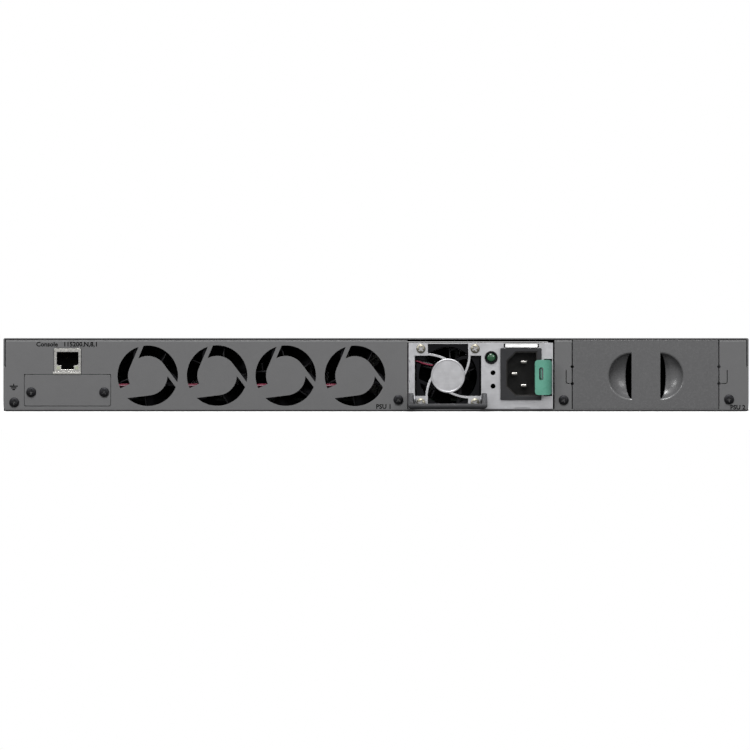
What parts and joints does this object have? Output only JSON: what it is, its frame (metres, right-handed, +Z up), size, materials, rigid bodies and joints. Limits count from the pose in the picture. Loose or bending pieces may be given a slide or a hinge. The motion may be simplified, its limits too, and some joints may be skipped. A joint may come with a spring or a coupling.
{
  "type": "rackmount network switch",
  "caption": "Rack-height network switch in a grey metal case, with rear fan grilles, a sliding hot-swap supply with a handle and latch, a blanked spare bay and front ports.",
  "frame": {"origin": "on the underside, at the centre of the sheet-metal body's footprint", "axes": "+X to the right when the rear is looked at, +Y from the rear with its fans and power supply towards the front ports, +Z up"},
  "size_m": [0.44, 0.3389, 0.0432],
  "materials": {
    "grey_paint": "fine-textured grey powder coat",
    "zinc_steel": "bare zinc-plated sheet steel",
    "black_plastic": "satin black moulded plastic",
    "wire_cover": "red insulated leads",
    "dark_screw": "black-plated screw head",
    "plated_screw": "yellow-passivated screw head",
    "grey_plastic": "dark grey moulded plastic",
    "nickel": "bright nickel-plated sheet",
    "green_plastic": "smooth teal green plastic",
    "green_lens": "unlit green lens",
    "circuit_board": "solder-masked glass-epoxy board",
    "heat_sink": "extruded aluminium"
  },
  "bodies": {
    "chassis": {"base_tray": "grey_paint", "bay_wall_left": "zinc_steel", "bay_wall_middle": "zinc_steel", "bay_wall_right": "zinc_steel", "chip_heat_sink": "heat_sink", "console_board": "circuit_board", "console_jack": "nickel", "fan_frame_1": "black_plastic", "fan_frame_2": "black_plastic", "fan_frame_3": "black_plastic", "fan_frame_4": "black_plastic", "fan_leads_1": "wire_cover", "fan_leads_2": "wire_cover", "fan_leads_3": "wire_cover", "fan_leads_4": "wire_cover", "front_panel": "grey_paint", "main_board": "circuit_board", "module_cover": "grey_paint", "module_cover_screw_left": "dark_screw", "module_cover_screw_right": "dark_screw", "port_block_1": "nickel", "port_block_2": "nickel", "rear_panel": "grey_paint", "rear_screw_1": "dark_screw", "rear_screw_2": "dark_screw", "rear_screw_3": "dark_screw", "rear_screw_4": "dark_screw", "sfp_cage": "nickel", "supply_backplane": "circuit_board", "supply_socket_1": "black_plastic", "supply_socket_2": "black_plastic", "switch_chip": "black_plastic", "top_cover": "grey_paint", "usb_port": "nickel"},
    "power_supply": {"psu_case": "zinc_steel", "psu_circuit_board": "circuit_board", "psu_face": "zinc_steel", "psu_fan_frame": "black_plastic", "psu_fan_leads": "wire_cover", "psu_fan_screw_1": "plated_screw", "psu_fan_screw_2": "plated_screw", "psu_fan_screw_3": "plated_screw", "psu_fan_screw_4": "plated_screw", "psu_inlet": "grey_plastic", "psu_led_bezel": "black_plastic", "psu_led_lens": "green_lens", "psu_pin_earth": "nickel", "psu_pin_line": "nickel", "psu_pin_neutral": "nickel", "psu_transformer": "black_plastic"},
    "fan_rotor_1": {"fan_rotor_1": "black_plastic"},
    "fan_rotor_2": {"fan_rotor_2": "black_plastic"},
    "fan_rotor_3": {"fan_rotor_3": "black_plastic"},
    "fan_rotor_4": {"fan_rotor_4": "black_plastic"},
    "psu_handle": {"psu_handle": "grey_plastic"},
    "psu_latch": {"psu_latch": "green_plastic", "psu_latch_leaf": "nickel"},
    "psu_fan_rotor": {"psu_fan_rotor": "black_plastic"},
    "blank_cover": {"blank_cover": "grey_paint"},
    "mode_button": {"mode_button": "black_plastic"}
  },
  "joints": [
    {"name": "fan_spin_1", "type": "hinge", "parent": "chassis", "child": "fan_rotor_1", "pos_m": [-0.1349, -0.14, 0.02105], "axis": [0, 1, 0], "continuous": true},
    {"name": "fan_spin_2", "type": "hinge", "parent": "chassis", "child": "fan_rotor_2", "pos_m": [-0.0941, -0.14, 0.02105], "axis": [0, 1, 0], "continuous": true},
    {"name": "fan_spin_3", "type": "hinge", "parent": "chassis", "child": "fan_rotor_3", "pos_m": [-0.0533, -0.14, 0.02105], "axis": [0, 1, 0], "continuous": true},
    {"name": "fan_spin_4", "type": "hinge", "parent": "chassis", "child": "fan_rotor_4", "pos_m": [-0.0125, -0.14, 0.02105], "axis": [0, 1, 0], "continuous": true},
    {"name": "supply_slide", "type": "slide", "parent": "chassis", "child": "power_supply", "axis": [0, -1, 0], "range_m": [0, 0.2]},
    {"name": "supply_fan_spin", "type": "hinge", "parent": "power_supply", "child": "psu_fan_rotor", "pos_m": [0.0425, -0.14, 0.0209], "axis": [0, 1, 0], "continuous": true},
    {"name": "handle_swing", "type": "hinge", "parent": "power_supply", "child": "psu_handle", "pos_m": [0.042, -0.16, 0.0063], "axis": [-1, 0, 0], "range_deg": [0, 95]},
    {"name": "latch_press", "type": "hinge", "parent": "power_supply", "child": "psu_latch", "pos_m": [0.1029, -0.118, 0.02], "axis": [0, 0, -1], "range_deg": [0, 4], "stiffness_Nm_per_rad": 1},
    {"name": "blank_slide", "type": "slide", "parent": "chassis", "child": "blank_cover", "axis": [0, -1, 0], "range_m": [0, 0.1]},
    {"name": "button_press", "type": "slide", "parent": "chassis", "child": "mode_button", "axis": [0, -1, 0], "range_m": [0, 0.0008], "stiffness_N_per_m": 300}
  ]
}
